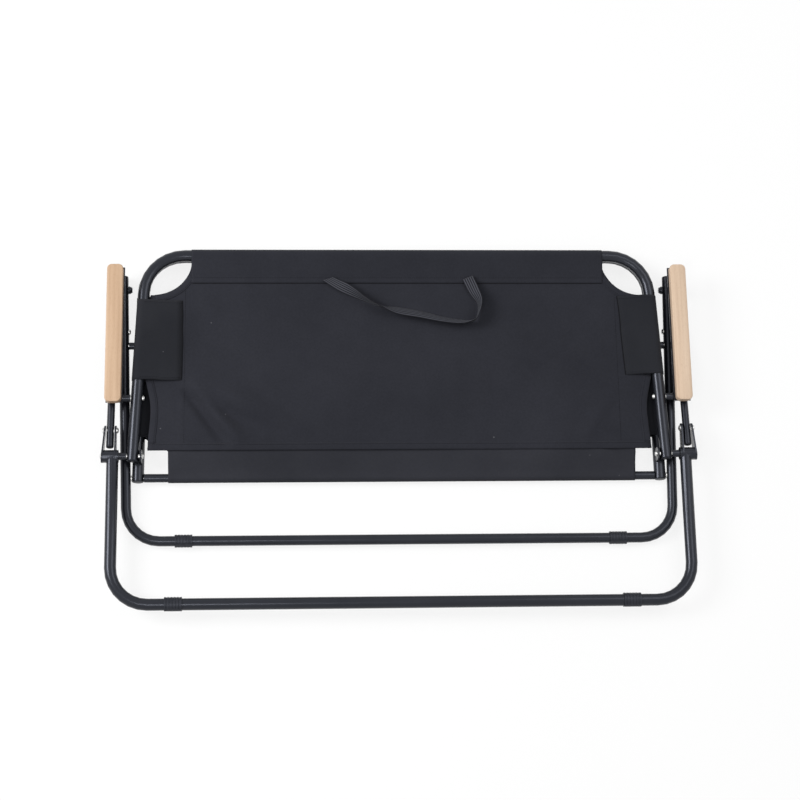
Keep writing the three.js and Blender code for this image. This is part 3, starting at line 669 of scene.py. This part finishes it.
def stitches(name, runs):
    """Threads along runs of points that lie on cloth: one slim bead for each stitch."""
    mesh = bmesh.new()
    for run in runs:
        travelled = 0.0
        for a, b in zip(run, run[1:]):
            step = b - a
            ahead = step.normalized()
            side = ahead.cross(UP).normalized()
            rise = side.cross(ahead)
            half_stitch = ahead * STITCH_LENGTH / 2
            ring = [side * THREAD_RADIUS, rise * THREAD_RADIUS, -side * THREAD_RADIUS, -rise * THREAD_RADIUS]
            offset = (-travelled) % STITCH_PITCH
            while offset < step.length:
                centre = a + ahead * offset
                first, last = mesh.verts.new(centre - half_stitch), mesh.verts.new(centre + half_stitch)
                belt = [mesh.verts.new(centre + corner) for corner in ring]
                for here, there in zip(belt, [*belt[1:], belt[0]]):
                    mesh.faces.new((first, there, here))
                    mesh.faces.new((last, here, there))
                offset += STITCH_PITCH
            travelled += step.length
    for face in mesh.faces:
        face.smooth = True
    piece = mesh_object(name, mesh)
    # The near-black thread is painted shade of the stitch lines' grooves.
    piece.data.materials.append(THREAD_PAINTED_SHADE)
    return piece


# Where the panels are cut, in millimetres: y from the hinge, and side cuts by how far in from the tube
BACK_HEM = 11
BACK_SEAM = 344
BACK_SIDE_CUT = [(11, 13), (35, 14), (60, 15), (85, 15), (108, 12), (130, 6), (152, 0)]
SEAT_HEM = -24
SEAT_SEAM = 339
SEAT_SIDE_CUT = [(-24, 45), (9, 45), (19, 36), (29, 14), (38, 0)]

# Flaps: where each starts and ends in millimetres from the hinge, its inner edge and that edge's slant
BACK_FLAPS = {"left": (144, 299), "right": (153, 308)}
BACK_FLAP_INNER = {"left": 408 * MM, "right": 418 * MM}
BACK_FLAP_SLANT = {"left": 0.0, "right": 10 * MM}
SEAT_FLAPS = {"rear": (40, 200), "front": (237, 311)}
SEAT_FLAP_INNER = 430 * MM
SEAM_INSET = 6 * MM

# Creases of the back cloth: where each starts and ends (x, and y from the hinge), its width and its rise
BACK_CREASES = [
    ((-404, 132), (-318, 14), 10, -10.0),
    ((-396, 144), (-290, 18), 14, 11.0),
    ((-400, 150), (-205, 62), 20, 8.0),
    ((-410, 128), (-250, 40), 16, -7.0),
    ((-406, 160), (-407, 6), 3, 1.1),
    ((410, 130), (330, 16), 13, 2.6),
    ((-80, 70), (130, 20), 26, 1.6),
    ((-400, 322), (-330, 270), 16, 2.2),
    ((405, 318), (335, 262), 16, -2.2),
]


def panel_trims(panel, label, seams=()):
    """Folded hems along a panel's cut edges, a near-black cord as painted shadow at its lap's edge, and stitches
    on its hems and seams.
    """
    edges = [panel.hem_line()]
    for side in SIDES.values():
        edges.append(panel.side_line(side))
        edges.append(panel.corner_line(side))
    ribbons = hems(f"{label}_hems", [panel.ribbon(edge) for edge in edges])
    sewn = []
    for edge in edges:
        inset = [place + inward * (HEM_WIDTH - STITCH_INSET) for place, inward in edge]
        sewn.append(panel.on_cloth(inset, HEM_LIFT + CLOTH / 2))
    sewn.append(panel.lap_line(panel.seam, CLOTH / 2))
    sewn += [panel.upright_seam(x) for x in seams]
    # The lap's edge gets the near-black cord, a painted shadow of the gap under it.
    lap_edge = panel.seam - LAP_HEM - SHADOW_CORD_RADIUS / 2
    dark_edge = shadow_cord(f"{label}_edging", panel.lap_line(lap_edge, -LAP / 4))
    return [ribbons, dark_edge, stitches(f"{label}_stitches", sewn)]


def make_panels():
    back = Panel(
        z=BACK_Z, bar_y=BACK_BAR_Y, side_x=back_x, hem=BACK_HEM, side_cut=BACK_SIDE_CUT, seam=BACK_SEAM,
        lap_side=1, flap_inner=min(BACK_FLAP_INNER.values()), creases=BACK_CREASES, seed=2.0,
    )
    seat = Panel(
        z=SEAT_Z, bar_y=SEAT_BAR_Y, side_x=seat_x, hem=SEAT_HEM, side_cut=SEAT_SIDE_CUT, seam=SEAT_SEAM,
        lap_side=-1, flap_inner=SEAT_FLAP_INNER, creases=[], seed=9.0,
    )
    seams = [SIDES[label] * (BACK_FLAP_INNER[label] - SEAM_INSET) for label in SIDES]
    back_trims = panel_trims(back, "back", seams)
    cloth_piece("back_cloth", back.rows(), "back", back_trims, "back_panel")
    cloth_piece("seat_cloth", seat.rows(), "seat", panel_trims(seat, "seat"), "seat_panel")


# Flap shape: shares of the way from its inner edge to the tube, counts, and size and depth of its waves
FLAP_SHARES = (0, 0.15, 0.3, 0.45, 0.6, 0.75, 0.9)
FLAP_TOP_POINTS = len(FLAP_SHARES) + 1
FLAP_TURN_POINTS = 15
FLAP_ROWS = 30
FLAP_SAG = (0.05, 0.9 * MM)
FLAP_EDGE_WAVE = (0.035, 1.4 * MM)
FLAP_EDGE_SEED = 3.0
FLAP_END_WAVE = (0.03, 1.6 * MM)
FLAP_END_SEED = 5.0
FLAP_EDGE_STITCH = 4 * MM
FLAP_END_STITCH = 5 * MM


def flap_section(centre, z, inner, y, side):
    """(x, z) places of a flap from its seam on the panel over the side tube and back under the panel."""
    lean = math.asin(SLEEVE / (centre - inner))
    sweep = spread(math.pi / 2 + lean, -math.pi / 2 - lean, FLAP_TURN_POINTS)
    loop = [(centre + SLEEVE * math.cos(a), z + SLEEVE * math.sin(a)) for a in sweep]
    touch_x, touch_z = loop[0]
    sag_size, sag_depth = FLAP_SAG
    upper = []
    for t in FLAP_SHARES:
        sag = rumple(y, t * sag_size, sag_size, sag_depth, side) * math.sin(math.pi * t)
        upper.append((inner + (touch_x - inner) * t, z + LAP + (touch_z - z - LAP) * t + sag))
    under = [(x, 2 * z - height) for x, height in reversed(upper)]
    return upper + loop + under


def side_flap(name, side, body, side_x, z, inner, span, slant=0.0):
    """A sleeve sewn to the panel that goes round the side tube along a span of y.

    slant is how much nearer to the tube its inner edge is at the start of the span than at the end.
    """
    start, end = (along(place) for place in span)
    rows = []
    for y in spread(start, end, FLAP_ROWS):
        edge = inner + slant * (end - y) / (end - start) + rumple(y, side, *FLAP_EDGE_WAVE, FLAP_EDGE_SEED)
        near_end = abs(2 * (y - start) / (end - start) - 1) ** 3
        row = []
        for x, height in flap_section(side_x(y), z, edge, y, side):
            slack = near_end * rumple(x, y, *FLAP_END_WAVE, FLAP_END_SEED + side)
            row.append(Vector((side * x, y + slack, height)))
        rows.append(row)
    lift = Vector((0, 0, CLOTH / 2))
    # The flap's inner edge gets the near-black cord, a painted shadow of the gap under it.
    inner_edge = [row[0] + Vector((-side * SHADOW_CORD_RADIUS, 0, -LAP / 4)) for row in rows]
    sewn = [[row[0] + Vector((side * FLAP_EDGE_STITCH, 0, 0)) + lift for row in rows]]
    for row, shift in ((rows[0], FLAP_END_STITCH), (rows[-1], -FLAP_END_STITCH)):
        sewn.append([point + Vector((0, shift, 0)) + lift for point in row[:FLAP_TOP_POINTS]])
    trims = [shadow_cord(f"{name}_edging", inner_edge), stitches(f"{name}_stitches", sewn)]
    # Flaps take the darker copy of the cloth, as painted shade.
    cloth_piece(name, rows, body, trims, cloth=FLAP_CLOTH_PAINTED_SHADE)


def make_flaps():
    for label, side in SIDES.items():
        inner, span = BACK_FLAP_INNER[label], BACK_FLAPS[label]
        slant = BACK_FLAP_SLANT[label]
        side_flap(f"back_flap_{label}", side, "back", back_x, BACK_Z, inner, span, slant)
        for place, span in SEAT_FLAPS.items():
            name = f"seat_flap_{place}_{label}"
            side_flap(name, side, "seat", seat_x, SEAT_Z, SEAT_FLAP_INNER, span)


# Rear strip: y from the hinge with height against the back panel, then over the rod's cloth, in millimetres
STRIP_ENDS = (-431 * MM, 439 * MM)
STRIP_UNDER_HEM = [(24, -2.6), (12, -2.8), (4, -4.4)]
STRIP_FALL = [(-10, 7.4), (-24, 2.2)]
STRIP_WRAP = (math.radians(80), math.radians(270))
STRIP_WRAP_ROWS = 12
STRIP_CALM = 20 * MM
STRIP_RUMPLE = (0.09, 0.9 * MM)
STRIP_SEED = 7.0

# The strip's way from the rod to the seat panel: two places forward of the rod, then the panel's edge
TUCK_NEAR = 9 * MM
TUCK_NEAR_SHARE = 0.72
TUCK_FAR = 18 * MM
TUCK_FAR_DROP = 3 * MM
TUCK_END = -6

# Creases of the rear strip, given as those of the back cloth
STRIP_CREASES = [
    ((350, 16), (446, -34), 7, 3.0),
    ((372, 22), (470, -26), 7, -2.5),
    ((-440, -30), (-395, 14), 9, 1.5),
]


def rear_strip():
    """Cloth from under the back panel's hem down round the seat's rear rod to the seat panel."""
    skin = ROD + CLOTH
    section = [(along(y), BACK_Z + height * MM) for y, height in STRIP_UNDER_HEM]
    section += [(along(y), SEAT_Z + skin + height * MM) for y, height in STRIP_FALL]
    sweep = spread(*STRIP_WRAP, STRIP_WRAP_ROWS)
    section += [(ROD_Y + skin * math.cos(a), SEAT_Z + skin * math.sin(a)) for a in sweep]
    section.append((ROD_Y + TUCK_NEAR, SEAT_Z - skin * TUCK_NEAR_SHARE))
    section.append((ROD_Y + TUCK_FAR, SEAT_Z - TUCK_FAR_DROP))
    section.append((along(TUCK_END), SEAT_Z - 2 * LAP))
    rows = []
    for y, z in section:
        calm = ease((y - ROD_Y) / STRIP_CALM)
        row = []
        for x in spread(*STRIP_ENDS, COLUMNS):
            soft = add_creases(rumple(x, y, *STRIP_RUMPLE, STRIP_SEED), x, y, STRIP_CREASES)
            row.append(Vector((x, y, z + soft * calm)))
        rows.append(row)
    # The strip takes the lighter copy of the cloth, as painted light.
    piece = cloth_piece(
        "rear_cloth_strip", rows, None, replaces="rear_strip", cloth=STRIP_CLOTH_PAINTED_LIGHT
    )
    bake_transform(piece)


# Carry strap: sizes, how it lies on the cloth, and how its first part turns where it is sewn on
STRAP_WIDTH = 21 * MM
STRAP_THICKNESS = 1.3 * MM
STRAP_STEPS = 120
STRAP_POINTS = 9
STRAP_REST = 2.6 * MM
STRAP_END_LIFT = 3 * MM
STRAP_FREE_LIFT = 1.5 * MM
STRAP_CUP = 1.2 * MM
STRAP_SEWN_SHARE = 0.16
STRAP_SEWN_ACROSS = Vector((0.95, 0.3, 0))

# The strap's route over the back panel (x, and y from the hinge, in millimetres) and its tilt in degrees
STRAP_ROUTE = [
    (-134, 341, 0), (-112, 327, 22), (-87, 312, 56), (-62, 297, 86), (-38, 285, 98), (-5, 277, 140),
    (39, 269, 142), (86, 258, 132), (121, 254, 122), (143, 257, 96), (150, 270, 98), (153, 293, 112),
    (143, 316, 146), (132, 343, 178),
]


def strap_stations():
    """Even steps along the strap: (x, y, tilt), and the strap's length."""
    travelled = [0.0]
    for (ax, ay, _), (bx, by, _) in zip(STRAP_ROUTE, STRAP_ROUTE[1:]):
        travelled.append(travelled[-1] + math.hypot(bx - ax, by - ay) * MM)
    length = travelled[-1]
    xs = [(d, x * MM) for d, (x, _, _) in zip(travelled, STRAP_ROUTE)]
    ys = [(d, along(y)) for d, (_, y, _) in zip(travelled, STRAP_ROUTE)]
    tilts = [(d, math.radians(tilt)) for d, (_, _, tilt) in zip(travelled, STRAP_ROUTE)]
    steps = spread(0, length, STRAP_STEPS + 1)
    return [tuple(curve_through(curve, d) for curve in (xs, ys, tilts)) for d in steps], length


def carry_strap():
    stations, length = strap_stations()
    rows = []
    for i, (x, y, tilt) in enumerate(stations):
        before, after = stations[max(i - 1, 0)], stations[min(i + 1, STRAP_STEPS)]
        ahead = Vector((after[0] - before[0], after[1] - before[1], 0)).normalized()
        square = Vector((-ahead.y, ahead.x, 0))
        sewn = 1 - ease(i / STRAP_STEPS / STRAP_SEWN_SHARE)
        across = square.lerp(STRAP_SEWN_ACROSS, sewn).normalized()
        raised = STRAP_WIDTH / 2 * abs(math.sin(tilt))
        free = math.sin(math.pi * i / STRAP_STEPS)
        lift = BACK_Z + STRAP_REST + STRAP_END_LIFT * (1 - free) + raised + STRAP_FREE_LIFT * free
        direction = across * math.cos(tilt) + UP * math.sin(tilt)
        bulge = direction.cross(ahead) * STRAP_CUP
        row = []
        for share in spread(-0.5, 0.5, STRAP_POINTS):
            cup = bulge * (1 - 4 * share * share)
            row.append(Vector((x, y, lift)) + cup + direction * STRAP_WIDTH * share)
        rows.append(row)
    piece = grid("strap_ribbon", [rows], uv=True)
    thicken(piece, STRAP_THICKNESS)
    piece.data.materials.append(FINISH["webbing"])
    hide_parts("carry_strap")
    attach(piece, "back")


# Stage: a pale floor that keeps the shadow and lets open legs below it show, and soft light from above
FLOOR_COLOR = (0.95, 0.95, 0.95)
FLOOR_VEIL = 0.18
FLOOR_FADE = (0.9, 2.4)
FLOOR_REACH = 6
AMBIENT = 0.40

# Each lamp's place and size in metres, and its power in watts
LAMPS = [((-2.9, 0.6, 2.3), 1.6, 104), ((1.5, 0.6, 2.3), 1.6, 20), ((-0.7, -1.0, 2.6), 0.6, 11)]


def floor_finish():
    """A thin white veil, fully clear far from the object, where the white surroundings take over."""
    made, tree, shader, place = material("floor", FLOOR_COLOR, roughness=1.0, Specular_IOR_Level=0.0)
    clear = tree.nodes.new("ShaderNodeBsdfTransparent").outputs[0]
    reach = node(tree, "ShaderNodeVectorMath", {"operation": "LENGTH"}, {0: place}).outputs["Value"]
    near, far = FLOOR_FADE
    fade = {"From Min": near, "From Max": far, "To Min": FLOOR_VEIL, "To Max": 0.0}
    veil = node(tree, "ShaderNodeMapRange", fade, {"Value": reach}).outputs["Result"]
    seen = node(tree, "ShaderNodeMixShader", {}, {0: veil, 1: clear, 2: shader.outputs[0]})
    tree.links.new(seen.outputs[0], tree.nodes["Material Output"].inputs["Surface"])
    return made


def make_floor():
    mesh = bpy.data.meshes.new("floor")
    turns = ((-1, -1), (1, -1), (1, 1), (-1, 1))
    mesh.from_pydata([(x * FLOOR_REACH, y * FLOOR_REACH, 0) for x, y in turns], [], [(0, 1, 2, 3)])
    mesh.materials.append(floor_finish())
    floor = bpy.data.objects.new("floor", mesh)
    floor.visible_shadow = False
    bpy.context.scene.collection.objects.link(floor)


def make_world():
    """White surroundings that light the object less than they show."""
    world = bpy.data.worlds.new("studio")
    world.use_nodes = True
    bpy.context.scene.world = world
    tree = world.node_tree
    path = tree.nodes.new("ShaderNodeLightPath").outputs
    seen = path["Is Camera Ray"]
    for kind in ("Is Glossy Ray", "Is Transmission Ray"):
        seen = maths(tree, "MAXIMUM", seen, path[kind])
    level = node(tree, "ShaderNodeMapRange", {"To Min": AMBIENT, "To Max": 1.0}, {"Value": seen})
    backdrop = tree.nodes["Background"]
    backdrop.inputs["Color"].default_value = (*WHITE, 1)
    tree.links.new(level.outputs["Result"], backdrop.inputs["Strength"])


def make_lamps():
    for i, (place, size, power) in enumerate(LAMPS):
        data = bpy.data.lights.new(f"softbox_{i}", "AREA")
        data.size = size
        data.energy = power
        lamp = bpy.data.objects.new(f"softbox_{i}", data)
        lamp.location = place
        lamp.rotation_mode = "QUATERNION"
        lamp.rotation_quaternion = (-Vector(place)).to_track_quat("-Z", "Y")
        bpy.context.scene.collection.objects.link(lamp)


bpy.context.scene.view_settings.view_transform = "Standard"
make_camera()
make_floor()
make_world()
make_lamps()
finish_cad()
make_panels()
make_flaps()
rear_strip()
carry_strap()
